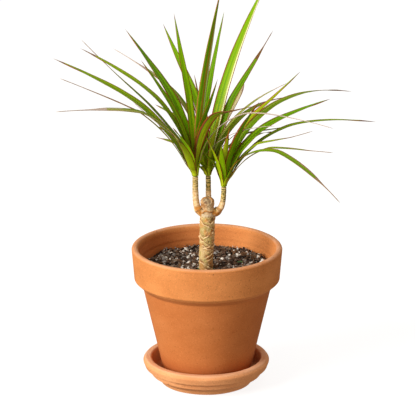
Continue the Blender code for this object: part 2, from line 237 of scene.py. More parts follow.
# Whorls: radius and rise of the leaves' feet, least turn between leaves, width of a foot, and how far out the
# sheath lies and how far round it clasps
Whorl = namedtuple("Whorl", "radius rise apart width clasp wrap")
Leaf = namedtuple("Leaf", "turn foot_rise tip_rise length width roll tint sag dries")
WHORLS = {
    "outer": Whorl(0.0041, -0.001, 32, 0.0019, 0.0001, 58),
    "middle": Whorl(0.0024, 0.0003, 45, 0.0015, -0.0006, 66),
    "inner": Whorl(0.0009, 0.0003, 88, 0.0011, -0.0013, 72),
}
LEAVES = {
    ("left", "outer"): (
        (116, 52, -6, 0.094, 0.008, 0, "deep", 0, 0.92),
        (170, 68, 18, 0.19, 0.01, -12, "fresh", 0.002, 0.93),
        (188, 68, 18, 0.178, 0.006, 0, "plum", 0.003, 0.5),
        (210, 77, -4, 0.2, 0.007, -18, "tan", 0.004, 0.7),
        (252, 64, 34, 0.078, 0.008, 0, "mid", 0, 0.95),
        (332, 85, -18, 0.197, 0.005, 0, "tan", 0.005, 0.3),
    ),
    ("left", "middle"): (
        (11, 85, 78, 0.172, 0.008, 35, "deep", 0.001, 0.97),
        (139, 82, 36, 0.169, 0.01, -12, "deep", 0.003, 0.95),
        (160, 81, 18, 0.182, 0.009, 0, "fresh", 0.002, 0.88),
        (230, 84, 44, 0.07, 0.008, 0, "deep", 0.001, 0.95),
        (300, 88, 9, 0.165, 0.009, -20, "olive", 0.005, 0.62),
    ),
    ("left", "inner"): (
        (118, 83, 67, 0.165, 0.008, 0, "mid", 0.005, 0.96),
        (166, 83, 51, 0.132, 0.008, -15, "mid", 0.001, 0.94),
        (303, 87, 57, 0.121, 0.007, 0, "deep", 0.005, 0.95),
        (322, 88, 76, 0.201, 0.009, -25, "streak", 0.001, 0.98),
    ),
    ("left", "strands"): (
        (352, 76, 4, 0.106, 0.0022, 0, "tan", 0, 0.4),
        (176, 74, 34, 0.1, 0.002, 0, "tan", 0.003, 0.5),
    ),
    ("centre", "outer"): (
        (19, 72, -8, 0.118, 0.005, 0, "dull", 0.005, 0.88),
        (42, 80, -8, 0.14, 0.008, 0, "pale", 0, 0.7),
        (60, 74, 29, 0.108, 0.008, 0, "withered", 0.001, 0.97),
        (95, 74, 7, 0.128, 0.008, 0, "deep", 0.001, 0.93),
        (119, 65, -8, 0.127, 0.008, 0, "mid", 0.002, 0.93),
        (154, 53, 34, 0.188, 0.006, 8, "plum", 0.003, 0.84),
        (170, 84, 4, 0.07, 0.006, -15, "dull", 0.001, 0.84),
        (235, 79, 48, 0.018, 0.004, 0, "mid", 0, 0.9),
    ),
    ("centre", "middle"): (
        (14, 86, 21, 0.129, 0.006, 5, "tan", 0, 0.84),
        (40, 80, 42, 0.163, 0.008, 15, "deep", 0.004, 0.8),
        (118, 82, 33, 0.171, 0.009, 0, "mid", 0.005, 0.96),
        (138, 83, 8, 0.182, 0.008, 10, "tan", 0.003, 0.72),
    ),
    ("centre", "inner"): (
        (56, 79, 44, 0.213, 0.011, 10, "striped", 0, 0.97),
        (146, 88, 76, 0.105, 0.007, 0, "deep", 0, 0.95),
        (315, 88, 69, 0.075, 0.006, 0, "fresh", 0.001, 0.94),
    ),
    ("centre", "strands"): (
        (12, 80, 30, 0.066, 0.002, 0, "plum", 0, 0.7),
        (128, 84, 60, 0.085, 0.0022, 0, "tan", 0, 0.7),
    ),
    ("right", "outer"): (
        (11, 68, -14, 0.182, 0.008, 0, "fresh", 0.002, 0.9),
        (60, 64, -20, 0.12, 0.008, 0, "deep", 0.001, 0.92),
        (100, 63, -15, 0.1, 0.008, 0, "mid", 0.001, 0.92),
        (215, 88, 62, 0.062, 0.007, 0, "mid", 0.001, 0.94),
        (172, 88, 48, 0.056, 0.008, 0, "mid", 0.005, 0.93),
        (326, 75, -48, 0.173, 0.0074, 8, "plum", 0.005, 0.74),
        (337, 70, -10, 0.138, 0.006, 4, "dull", 0.004, 0.74),
        (351, 80, 4, 0.117, 0.006, 10, "pale", 0.005, 0.74),
    ),
    ("right", "middle"): (
        (5, 78, 12, 0.147, 0.01, 22, "deep", 0.002, 0.96),
        (36, 80, -18, 0.203, 0.009, 5, "dull", 0.001, 0.86),
        (328, 86, 54, 0.105, 0.009, -10, "deep", 0, 0.95),
        (262, 86, 64, 0.052, 0.008, 0, "deep", 0.001, 0.95),
    ),
    ("right", "inner"): (
        (14, 87, 32, 0.146, 0.008, 15, "olive", 0.005, 0.95),
        (288, 88, 66, 0.071, 0.007, 0, "amber", 0.001, 0.8),
    ),
    ("right", "strands"): (
        (30, 84, 8, 0.11, 0.0022, 0, "tan", 0, 0.45),
        (196, 86, 60, 0.052, 0.002, 0, "plum", 0, 0.8),
    ),
}
BLADE_RINGS = 34
RINGS_CROWD = 1.15
BLADE_THICKNESS = 0.00042
SHEATH_LENGTH = 0.017
SHEATH_STARTS = 0.0027
SHEATH_ROUNDS = 0.003
# How much wider a blade is than its row says
WIDER = 1.12
# Most that a blade sways aside, and in degrees that it twists
SWAY = 0.0012
TWIST = 22
RIPPLE = 0.03
TAPER = 3
BLUNT_TAPER = 12
# Length of a blade's pale foot, and about how far up from there its strips are painted a tone lighter, as
# painted light in the shade of the tuft
FOOT_TONE_LENGTH = 0.019
PAINTED_LIGHT_LENGTH = 0.055
# Share of a blade over which its tip withers, and its half width there against a fresh one's
WITHERS_OVER = 0.12
WITHERED = 0.38
POINT_HALF_WIDTH = 0.00045
POINT_LENGTH = 0.008
# Cone of packed sheaths in the middle of a tuft
CORE_RINGS = 8
CORE_SIDES = 20
CORE_HEIGHT = 0.0125
# Columns across a blade, from one edge to the other
BLADE_COLUMNS = (-1, -0.83, -0.56, -0.26, 0, 0.26, 0.56, 0.83, 1)

# Sockets of the Mix node that take the two colours and give the mixed one
MIX_FIRST = 6
MIX_SECOND = 7
MIX_RESULT = 2


def srgb(red, green, blue):
    """A colour given as 0 to 255 the way a screen shows it, as a shader's linear numbers."""
    shares = [value / 255 for value in (red, green, blue)]
    return tuple(s / 12.92 if s <= 0.04045 else ((s + 0.055) / 1.055) ** 2.4 for s in shares)


def smooth(share):
    share = min(1, max(0, share))
    return share * share * (3 - 2 * share)


def hump(distance, width):
    """A bell curve of height 1."""
    return exp(-((distance / width) ** 2))


def blend(first, second, share):
    return first + (second - first) * share


def along(points, share):
    """The place at a share of the way along a smooth curve through points."""
    last = len(points) - 1
    at = min(max(share, 0), 1) * last
    i = min(int(at), last - 1)
    f = at - i
    p1 = points[i]
    p2 = points[i + 1]
    p0 = points[i - 1] if i else p1 * 2 - p2
    p3 = points[i + 2] if i + 2 <= last else p2 * 2 - p1
    slope = p2 - p0
    bow = p0 * 2 - p1 * 5 + p2 * 4 - p3
    turn = p1 * 3 - p0 - p2 * 3 + p3
    return (p1 * 2 + slope * f + bow * f**2 + turn * f**3) / 2


# Materials


class Finish:
    """A Principled material, with short calls for the nodes that feed it."""

    def __init__(self, name, roughness, specular):
        self.material = bpy.data.materials.new(name)
        self.material.use_nodes = True
        self.tree = self.material.node_tree
        self.shader = self.tree.nodes["Principled BSDF"]
        self.shader.inputs["Roughness"].default_value = roughness
        self.shader.inputs["Specular IOR Level"].default_value = specular
        self.place = self.node("ShaderNodeTexCoord", {}, "Object")
        self.base = None

    def join(self, source, target):
        """Feeds a socket from another one, or sets it to a plain value."""
        if isinstance(source, bpy.types.NodeSocket):
            self.tree.links.new(source, target)
        else:
            target.default_value = (*source, 1) if target.type == "RGBA" else source

    def node(self, kind, inputs, output, **settings):
        """One output of a new node, whose inputs and settings are given by name or number."""
        made = self.tree.nodes.new(kind)
        for name, value in settings.items():
            setattr(made, name, value)
        for socket, source in inputs.items():
            self.join(source, made.inputs[socket])
        return made.outputs[output]

    def noise(self, scale, detail=4, stretch=(1, 1, 1), roughness=0.55, place=None):
        place = self.node("ShaderNodeMapping", {"Scale": stretch, "Vector": place or self.place}, "Vector")
        inputs = {"Scale": scale, "Detail": detail, "Roughness": roughness, "Vector": place}
        return self.node("ShaderNodeTexNoise", inputs, "Fac")

    def range(self, value, low, high, to_low, to_high):
        inputs = {"Value": value, "From Min": low, "From Max": high, "To Min": to_low, "To Max": to_high}
        return self.node("ShaderNodeMapRange", inputs, "Result")

    def spots(self, scale, detail, low, high, most=1, stretch=(1, 1, 1)):
        """Noise as soft spots: nothing below low, and the full share above high."""
        return self.range(self.noise(scale, detail, stretch), low, high, 0, most)

    def combine(self, first, second, operation="ADD"):
        return self.node("ShaderNodeMath", {0: first, 1: second}, 0, operation=operation)

    def mix(self, share, first, second):
        inputs = {"Factor": share, MIX_FIRST: first, MIX_SECOND: second}
        return self.node("ShaderNodeMix", inputs, MIX_RESULT, data_type="RGBA")

    def colour(self, source):
        """Sets the base colour, which coats then cover."""
        self.base = source
        self.join(source, self.shader.inputs["Base Color"])

    def coat(self, share, colour):
        """Covers the base colour in a share that a socket gives, or the vertices' mark of that name."""
        if isinstance(share, str):
            share = self.node("ShaderNodeAttribute", {}, "Fac", attribute_name=share)
        self.colour(self.mix(share, self.base, colour))

    def rough(self, value, low, high):
        self.join(self.range(value, 0.3, 0.7, low, high), self.shader.inputs["Roughness"])

    def bump(self, height, depth, strength):
        inputs = {"Strength": strength, "Distance": depth, "Height": height}
        self.join(self.node("ShaderNodeBump", inputs, "Normal"), self.shader.inputs["Normal"])


def scaled(colour, times):
    return tuple(min(1, share * times) for share in colour)


def clay_finish(name, lit, deep, shade_and_tone_colour, worn):
    """Fired clay: two near tones, a grain and small pits, darker with painted shade and a darker body tone,
    and paler where worn.
    """
    lit = srgb(*lit)
    deep = srgb(*deep)
    made = Finish(name, 0.85, 0.2)
    made.colour(made.mix(made.spots(32, 6, 0.3, 0.7, stretch=(1, 1, 1.6)), deep, lit))
    made.coat(made.spots(760, 3, 0.56, 0.7, 0.5), scaled(lit, 1.35))
    made.coat(made.spots(560, 3, 0.58, 0.7, 0.55), scaled(deep, 0.6))
    cells = made.node("ShaderNodeTexVoronoi", {"Scale": 150, "Vector": made.place}, "Distance")
    pits = made.combine(made.range(cells, 0.06, 0.12, 0.8, 0), made.spots(90, 1, 0.6, 0.64), "MULTIPLY")
    # Painted shade, and the darker tone of the pot's body under its band
    made.coat("shade_and_tone", srgb(*shade_and_tone_colour))
    made.coat("worn", srgb(*worn))
    made.coat(pits, scaled(deep, 0.35))
    grain = made.noise(1000, 3)
    wheel = made.noise(150, 3, (0.05, 0.05, 1))
    height = made.combine(grain, made.combine(wheel, 0.9, "MULTIPLY"))
    height = made.combine(height, made.combine(pits, 2.5, "MULTIPLY"), "SUBTRACT")
    made.bump(height, 0.00042, 0.8)
    made.rough(made.noise(30), 0.78, 0.92)
    return made.material


def loose_finish(name, dark, light, depth, roughness=0.9):
    """One kind of loose bit: two tones mottled over it, and a grain."""
    made = Finish(name, roughness, 0.3)
    made.colour(made.mix(made.spots(330, 4, 0.38, 0.62), srgb(*dark), srgb(*light)))
    made.bump(made.noise(900, 3), depth, 0.8)
    made.rough(made.noise(300), roughness - 0.1, min(1, roughness + 0.05))
    return made.material


def cane_finish():
    """Old bark: olive and tan patches, leaf scars with pale rims and a brown painted shadow under them, brown
    at wounds and joints, and a dark painted shadow in the notch at the fork.
    """
    made = Finish("cane_bark", 0.75, 0.3)
    mottle = made.spots(230, 4, 0.4, 0.6, stretch=(1, 1, 0.6))
    made.colour(made.mix(mottle, srgb(192, 154, 92), srgb(222, 194, 134)))
    made.coat("patch", srgb(178, 160, 88))
    made.coat("bare", srgb(204, 184, 150))
    made.coat("burnt", srgb(202, 148, 78))
    made.coat(made.spots(480, 3, 0.54, 0.7, 0.5), srgb(212, 192, 156))
    made.coat(made.spots(1100, 2, 0.55, 0.66, 0.4), srgb(136, 98, 50))
    made.coat(made.spots(1250, 2, 0.57, 0.66, 0.5), srgb(246, 226, 182))
    # A brown painted shadow under each scar's rim, and dark cracks
    made.coat("line", srgb(134, 80, 32))
    made.coat("rim", srgb(246, 216, 164))
    made.coat("stain", srgb(180, 116, 46))
    # Wounds and the cut face, and a painted shadow in the notch at the fork
    made.coat("wound_and_shadow", srgb(70, 38, 20))
    made.bump(made.combine(made.noise(700, 4, (1, 1, 0.35)), made.noise(2200, 2)), 0.0004, 0.8)
    made.rough(made.noise(200), 0.65, 0.85)
    return made.material


def stem_finish():
    """Young bark: smooth tan with rings, dark green-brown marks under the leaves, and a painted shadow in the
    crook.
    """
    made = Finish("young_bark", 0.65, 0.15)
    made.colour(made.mix(made.spots(260, 4, 0.38, 0.62), srgb(204, 160, 104), srgb(238, 208, 158)))
    made.coat("rim", srgb(248, 226, 184))
    made.coat("green", srgb(206, 186, 84))
    made.coat("stain", srgb(182, 118, 46))
    # Dark scars, and the painted shadow in the crook
    made.coat("scar", srgb(76, 78, 2))
    made.bump(made.noise(900, 4, (1, 1, 0.5)), 0.00025, 0.7)
    made.rough(made.noise(300), 0.5, 0.72)
    return made.material


def blade_finish(name, colour):
    """One tone of leaf, with fine veins that run along the blade."""
    made = Finish(name, 0.48, 0.11)
    veins = made.noise(1, 3, (70, 2.2, 1), 0.6, made.node("ShaderNodeTexCoord", {}, "UV"))
    low = srgb(*[c * 0.88 for c in colour])
    high = srgb(*[min(255, c * 1.08) for c in colour])
    made.colour(made.mix(made.range(veins, 0.35, 0.65, 0, 1), low, high))
    made.bump(veins, 0.0001, 0.5)
    made.rough(veins, 0.43, 0.56)
    return made.material


TONES = {
    "deep": (87, 129, 0),
    "green": (106, 154, 0),
    "leaf": (126, 166, 0),
    "light": (150, 176, 8),
    "lime": (178, 200, 30),
    "cream": (218, 222, 162),
    "olive": (122, 132, 8),
    "fern": (156, 164, 14),
    "underside": (140, 162, 44),
    "moss": (112, 138, 8),
    "sand": (170, 158, 96),
    "straw": (212, 198, 152),
    "red": (142, 62, 25),
    "rose": (164, 98, 50),
    "rust": (166, 100, 36),
    "brown": (112, 78, 40),
    "dry": (148, 120, 88),
    "whisker": (190, 172, 156),
}
# The tone of each strip across a blade's upper side, then of its underside (one tone or one for each strip,
# from the last edge back to the first), and those of its drying tip and its foot
TINTS = {
    "deep": ("red deep green deep deep green deep red", "green", "brown", "light"),
    "mid": ("red green leaf green green leaf green red", "light", "brown", "lime"),
    "fresh": ("rose leaf light green leaf light leaf red", "lime", "brown", "lime"),
    "amber": ("rose leaf light green leaf light rust red", "lime", "rust", "lime"),
    "dull": ("rose moss green moss moss underside moss rose", "underside", "dry", "light"),
    "pale": ("red leaf underside leaf light underside leaf rose", "lime", "dry", "lime"),
    "tan": ("moss moss underside sand underside sand moss rose", "sand", "whisker", "lime"),
    "olive": ("red red leaf olive fern leaf rust red", "rust fern leaf olive leaf brown", "brown", "lime"),
    # The cream strips along one side of this blade are a painted sheen
    "streak": (
        "rose green leaf green leaf red cream light", "cream leaf rust green deep green", "brown", "lime",
    ),
    "striped": ("red cream underside leaf green leaf green red", "leaf", "brown", "lime"),
    "withered": ("rose straw straw sand straw straw sand rose", "straw", "whisker", "light"),
    "plum": ("rust moss green moss green moss moss rose", "moss", "dry", "light"),
}
TONE_NUMBERS = {name: i for i, name in enumerate(TONES)}
# The tone above each foot tone, where it fades into the blade
NEXT_TONES = {"lime": "light", "light": "leaf"}
# The tone a strip is painted in the lower part of its blade: a tone lighter, as painted light where the tuft
# shades it
PAINTED_LIGHT_TONES = dict(deep="green", green="leaf", leaf="light", moss="green", fern="lime", olive="fern")
# Leaves that end bluntly instead of in a long point
BLUNT_TINTS = ("withered",)


# Making pieces


def add_object(name, data):
    made = bpy.data.objects.new(name, data)
    bpy.context.scene.collection.objects.link(made)
    return made


def mesh_of(name, bm, materials):
    """Turns a bmesh into a mesh of these materials."""
    mesh = bpy.data.meshes.new(name)
    bm.to_mesh(mesh)
    bm.free()
    for material in materials:
        mesh.materials.append(material)
    return mesh


def add_piece(name, bm, materials, replaced=(), sharp_degrees=None):
    """Turns a bmesh into a smooth piece of the object, which may stand for CAD nodes."""
    mesh = mesh_of(name, bm, materials)
    mesh.shade_smooth()
    if sharp_degrees:
        mesh.set_sharp_from_angle(angle=radians(sharp_degrees))
    piece = add_object(name, mesh)
    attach(piece, "root")
    if replaced:
        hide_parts(*replaced)
    return piece


def paint(piece, name, values):
    """Stores one number for each vertex, which a material reads by name."""
    layer = piece.data.attributes.new(name, "FLOAT", "POINT")
    layer.data.foreach_set("value", values)


def skin(bm, rings):
    """Closes rings of points into a tube, and gives its faces ring by ring, then its two ends."""
    loops = [[bm.verts.new(p) for p in ring] for ring in rings]
    sides = len(loops[0])
    faces = []
    for low, high in zip(loops, loops[1:]):
        for i in range(sides):
            j = (i + 1) % sides
            faces.append(bm.faces.new((low[i], low[j], high[j], high[i])))
    return [*faces, bm.faces.new(reversed(loops[0])), bm.faces.new(loops[-1])]


def tube(rings):
    bm = bmesh.new()
    skin(bm, rings)
    return bm


def angles_of(sides):
    return [tau * i / sides for i in range(sides)]


def level_way(angle):
    """The level direction at a compass turn."""
    return Vector((cos(angle), sin(angle), 0))


# Clay


def rounded(corners):
    """A profile's points, with an arc in place of each corner that has a rounding."""
    points = [Vector(corners[0][:2])]
    for before, corner, after in zip(corners, corners[1:], corners[2:]):
        middle = Vector(corner[:2])
        to_last = (Vector(before[:2]) - middle).normalized()
        to_next = (Vector(after[:2]) - middle).normalized()
        half = to_last.angle(to_next) / 2
        away = (to_last + to_next).normalized()
        centre = middle + away * corner[2] / sin(half)
        start = middle + to_last * corner[2] / tan(half) - centre
        sweep = pi - 2 * half
        way = 1 if to_last.cross(to_next) < 0 else -1
        steps = max(1, round(sweep / CLAY_ARC_STEP))
        for i in range(steps + 1):
            points.append(centre + Matrix.Rotation(way * sweep * i / steps, 2) @ start)
    points.append(Vector(corners[-1][:2]))
    return points


def filled_in(points):
    """The profile with points added until none lie further apart than CLAY_STEP."""
    filled = [points[0]]
    for start, end in zip(points, points[1:]):
        steps = max(1, ceil((end - start).length / CLAY_STEP))
        filled += [start.lerp(end, (i + 1) / steps) for i in range(steps)]
    return filled


def turned_clay(points, shift, press):
    """Spins a profile about the Z axis. press gives how far each point sinks into the clay."""
    outline = points[1:-1]
    rings = []
    for i, point in enumerate(outline):
        before = outline[max(i - 1, 0)]
        after = outline[min(i + 1, len(outline) - 1)]
        run = (after - before).normalized()
        out = Vector((run.y, -run.x))
        ring = []
        for angle in angles_of(CLAY_SIDES):
            way = level_way(angle)
            place = Vector((way.x, way.y, point.y * WOBBLE_RISE)) * WOBBLE_SCALE
            sunk = press(point, out) + CLAY_WOBBLE * (1 + noise(place))
            ring.append(way * (point.x - out.x * sunk) + Vector((shift, 0, point.y - out.y * sunk)))
        rings.append(ring)
    bm = tube(rings)
    bmesh.ops.recalc_face_normals(bm, faces=bm.faces)
    return bm


def press_pot(point, out):
    """The rings that the wheel left on the pot's outside and on its inner wall."""
    rings = OUTSIDE_RINGS if out.x > 0 else INSIDE_RINGS
    if not RINGS_START <= point.y <= RINGS_END:
        return 0
    return sum(depth * hump(point.y - height, width) for height, width, depth in rings)


def add_clay(node, corners, shift, press, tones, shade_and_tone, top):
    """A piece turned from a profile, painted with its painted shade and darker tone, and with where its rim
    is worn.
    """
    bm = turned_clay(filled_in(rounded(corners)), shift, press)
    piece = add_piece(f"clay_{node}", bm, [clay_finish(f"{node}_clay", *tones)], [node])
    places = [v.co for v in piece.data.vertices]
    paint(piece, "shade_and_tone", [shade_and_tone(place) for place in places])
    paint(piece, "worn", [rim_wear(place, top) for place in places])


def make_clay():
    add_clay("pot", POT_PROFILE, 0, press_pot, POT_TONES, pot_shade_and_tone, RIM_TOP)
    corners = [(0, 0), *SAUCER_OUTSIDE, *SAUCER_INSIDE, (0, SAUCER_FLOOR)]
    add_clay("saucer", corners, SAUCER_SHIFT, lambda point, out: 0, SAUCER_TONES, saucer_painted_shade, SAUCER_HEIGHT)


def rim_wear(place, top):
    """How worn the clay is: its rim, unevenly."""
    return RIM_WEAR * smooth((place.z - top + 0.0024) / 0.002) * (1 + 0.8 * noise(place * 70))


def pot_shade_and_tone(place):
    """How much darker the pot is painted: not in its band, a darker tone a little below it, and painted
    shade, most at its foot and inside on the left.
    """
    radius = hypot(place.x, place.y)
    if place.z > UNDER_BAND and radius > RIM_INNER_RADIUS:
        return 0.0
    if radius < wall_radius(place.z) + 0.0015:
        # Painted shade on the inner wall, deepest on the left, which the key light leaves in shade
        toward_lit_side = 0.5 + 0.5 * place.x / RIM_INNER_RADIUS
        return blend(INSIDE_PAINTED_SHADE_LEFT, INSIDE_PAINTED_SHADE_RIGHT, toward_lit_side) * smooth((RIM_TOP - 0.002 - place.z) / EDGE_FADE)
    # Painted shade at the foot, fading up into the darker tone of the body under its band
    return blend(BODY_DARKER_TONE, FOOT_PAINTED_SHADE, smooth((FOOT_SHADE_TOP - place.z) / FOOT_SHADE_FADE))


def saucer_painted_shade(place):
    """Painted shade on the saucer: its inside, up to a little below the rim."""
    radius = hypot(place.x - SAUCER_SHIFT, place.y)
    inside = radius < SAUCER_INSIDE[0][0] and place.z > SAUCER_FLOOR - 0.001
    return SAUCER_PAINTED_SHADE * smooth((SAUCER_HEIGHT - 0.0012 - place.z) / EDGE_FADE) if inside else 0.0


# Potting mix


def wall_radius(height):
    """Radius of the pot's inner wall at a height."""
    share = (height - POT_FLOOR) / (RIM_TOP - POT_FLOOR)
    return blend(POT_FLOOR_RADIUS, RIM_INNER_RADIUS, share)


def soil_height(x, y):
    """The loose surface: level round the cane, then uneven, and a little higher at the wall."""
    away = max(0, hypot(x, y) - SOIL_FLAT_RADIUS)
    waves = sin(140 * x + 1.3) + cos(170 * y - 90 * x) + sin(230 * y + 60 * x + 0.5)
    uneven = SOIL_ROUGHNESS * waves * min(1, away / SOIL_FLAT_RADIUS)
    return SOIL_TOP + uneven + SOIL_RISE * away / (SOIL_OUTER_RADIUS - SOIL_FLAT_RADIUS)


def on_soil(x, y, lift):
    return Vector((x, y, soil_height(x, y) + lift))


def bed_ring(radius, height_at):
    """A ring of the filling, whose height is a function of the place."""
    places = [(radius * cos(angle), radius * sin(angle)) for angle in angles_of(SOIL_SIDES)]
    return [(x, y, height_at(x, y)) for x, y in places]


def bed_height(x, y):
    return soil_height(x, y) - BED_SUNK + BED_LUMPS * fractal(Vector((x, y, 0)) * 260, 1, 2, 4)


def make_soil_bed():
    """The filling of the pot, with a lumpy top."""
    bottom = POT_FLOOR + SOIL_CLEARANCE
    rings = [
        bed_ring(BED_FOOT_RADIUS, lambda x, y: bottom),
        bed_ring(wall_radius(bottom) - SOIL_CLEARANCE, lambda x, y: bottom + 0.002),
    ]
    outer = wall_radius(SOIL_TOP) - 0.0004
    rings += [bed_ring(outer * (1 - i / SOIL_RINGS), bed_height) for i in range(SOIL_RINGS)]
    finish = loose_finish("peat", (24, 17, 14), (52, 38, 30), 0.0006)
    add_piece("soil_bed", tube(rings), [finish], ["soil"])


def scatter(maker, edge):
    """A place on the soil, even over its area and clear of the wall and the cane."""
    while True:
        radius = (wall_radius(SOIL_TOP) - edge) * sqrt(maker.random())
        angle = maker.uniform(0, tau)
        x = radius * cos(angle)
        y = radius * sin(angle)
        if hypot(x - CANE[0][0], y - CANE_DEPTH) > CANE[0][2] + CANE_CLEARANCE:
            return x, y


class Heap:
    """Loose bits that are gathered into one piece, each with a material of its own."""

    def __init__(self):
        self.bm = bmesh.new()
        ball = bmesh.new()
        bmesh.ops.create_icosphere(ball, subdivisions=2, radius=1)
        self.ball_points = [v.co.copy() for v in ball.verts]
        self.ball_faces = [[v.index for v in f.verts] for f in ball.faces]
        ball.free()

    def add_lump(self, maker, place, size, uneven, mark):
        """A rounded lump, squeezed and dented at random."""
        squeeze = Vector([maker.uniform(0.7, 1.2) for _ in range(3)])
        seed = Vector([maker.uniform(0, 90) for _ in range(3)])
        corners = []
        for point in self.ball_points:
            dent = size / 2 * (1 + uneven * noise(point * 1.1 + seed))
            corners.append(self.bm.verts.new(place + point * squeeze * dent))
        for face in self.ball_faces:
            self.bm.faces.new([corners[i] for i in face]).material_index = mark

    def add_chip(self, maker, place, length, width, thick, lean, mark):
        """A flake of bark: a flat bar of uneven outline, leaning a little."""
        turn = maker.uniform(0, tau)
        ahead = Vector((cos(turn), sin(turn), maker.uniform(-lean, lean))).normalized()
        aside = Vector((-sin(turn), cos(turn), maker.uniform(-lean, lean)))
        aside = (aside - ahead * aside.dot(ahead)).normalized()
        up = ahead.cross(aside)
        rings = []
        for share, size in CHIP_OUTLINE:
            centre = place + ahead * length / 2 * share + up * maker.uniform(-0.2, 0.2) * thick
            half = width / 2 * size * maker.uniform(0.75, 1.15)
            rise = thick / 2 * maker.uniform(0.7, 1.2)
            rings.append([centre + aside * half * out + up * rise * high for out, high in CHIP_SECTION])
        for face in skin(self.bm, rings):
            face.material_index = mark

    def piece(self, name, finishes, sharp_degrees=None):
        bmesh.ops.recalc_face_normals(self.bm, faces=self.bm.faces)
        add_piece(name, self.bm, finishes, sharp_degrees=sharp_degrees)


def make_chips():
    """Bark flakes of four browns all over the surface, with more red ones behind on the right."""
    maker = random.Random(11)
    heap = Heap()
    for _ in range(CHIPS):
        length = maker.choice(CHIP_LENGTHS) * maker.uniform(0.8, 1.2)
        x, y = scatter(maker, 0.0016 + length * 0.4)
        width = length * maker.uniform(0.18, 0.36)
        place = on_soil(x, y, maker.uniform(-0.0012, 0.0008))
        mark = maker.choice(BARK_DRAWN)
        if x > 0 and y > 0.8 * (RIM_INNER_RADIUS - x) and maker.random() < 0.5:
            mark = BARK_RED
        heap.add_chip(maker, place, length, width, maker.uniform(0.0007, 0.0016), 0.5, mark)
    finishes = [loose_finish(name, *tones, 0.0003) for name, tones in BARK_TONES.items()]
    heap.piece("bark_chips", finishes, 35)


def make_grains():
    """White and grey mineral grains among the bark, and grit between them."""
    maker = random.Random(23)
    heap = Heap()
    for _ in range(GRAINS):
        size = maker.choice(GRAIN_SIZES) * maker.uniform(0.85, 1.15)
        x, y = scatter(maker, 0.0012 + size * 0.6)
        place = on_soil(x, y, maker.uniform(-0.0008, 0.0008))
        heap.add_lump(maker, place, size, 0.75, maker.choice(GRAINS_DRAWN))
    for _ in range(GRIT):
        size = maker.uniform(0.0007, 0.0015)
        x, y = scatter(maker, 0.0012)
        place = on_soil(x, y, maker.uniform(-0.0004, 0.001))
        heap.add_lump(maker, place, size, 0.5, maker.choice(GRIT_DRAWN))
    finishes = [loose_finish(name, *tones, 0.0002, 0.8) for name, tones in GRAIN_TONES.items()]
    heap.piece("mineral_grains", finishes)


def make_moss():
    """A thin ring of moss round the foot of the cane, and a few green flecks on the soil."""
    maker = random.Random(5)
    heap = Heap()
    for _ in range(MOSS_LUMPS):
        angle = maker.uniform(0, tau)
        away = CANE[0][2] + maker.uniform(-0.0002, 0.0014)
        x = CANE[0][0] + away * cos(angle)
        y = CANE_DEPTH + away * sin(angle)
        size = maker.uniform(0.0008, 0.0018)
        heap.add_lump(maker, Vector((x, y, SOIL_TOP + maker.uniform(-0.0002, 0.0008))), size, 0.6, 0)
    for x, y, length in GREEN_FLECKS:
        for _ in range(3):
            aside = maker.uniform(-0.002, 0.002)
            place = on_soil(x + aside, y + maker.uniform(-0.001, 0.001), 0.001)
            heap.add_chip(maker, place, length * maker.uniform(0.5, 1), 0.0022, 0.0006, 0.2, 0)
    heap.piece("moss", [loose_finish("moss_green", (62, 92, 58), (98, 130, 80), 0.0004)])


# Cane and stems


def scar_relief(angle, height, place):
    """How far the old leaf scars stand out here, their pale rim, and the brown painted shadow under it."""
    wander = 0.0016 * noise(place * 170) + 0.0008 * noise(place * 520)
    out = 0
    rim = 0
    line = 0
    first = int((height - CANE[0][1] - SCAR_CLIMB) / SCAR_PITCH) - 1
    for i in range(first, first + 6):
        between = (angle - i * SCAR_TURN + pi) % tau - pi
        above = height - CANE[0][1] - i * SCAR_PITCH - SCAR_CLIMB * abs(between) / pi + wander
        strength = smooth(0.55 + 2.2 * noise(Vector((i * 3.1, angle * 1.3, 0.5))))
        out += strength * (hump(above, 0.0005) - 0.7 * hump(above - 0.0013, 0.0009))
        rim = max(rim, strength * hump(above, 0.0005))
        line = max(line, strength * hump(above - 0.0011, 0.0007))
    return out, rim, line


def cut_marks(place):
    """The ridge round the cane's cut, and the sunken face inside it."""
    if place.z < CUT_FROM:
        return 0, 0
    to_place = place - CUT_MIDDLE
    flat = to_place - CUT_WAY * to_place.dot(CUT_WAY)
    away = flat.length + 0.0006 * noise(place * 380)
    facing = smooth(to_place.dot(CUT_WAY) / 0.002)
    return facing * hump(away - CUT_RADIUS, 0.001), facing * smooth((CUT_RADIUS - 0.0006 - away) / 0.0012)


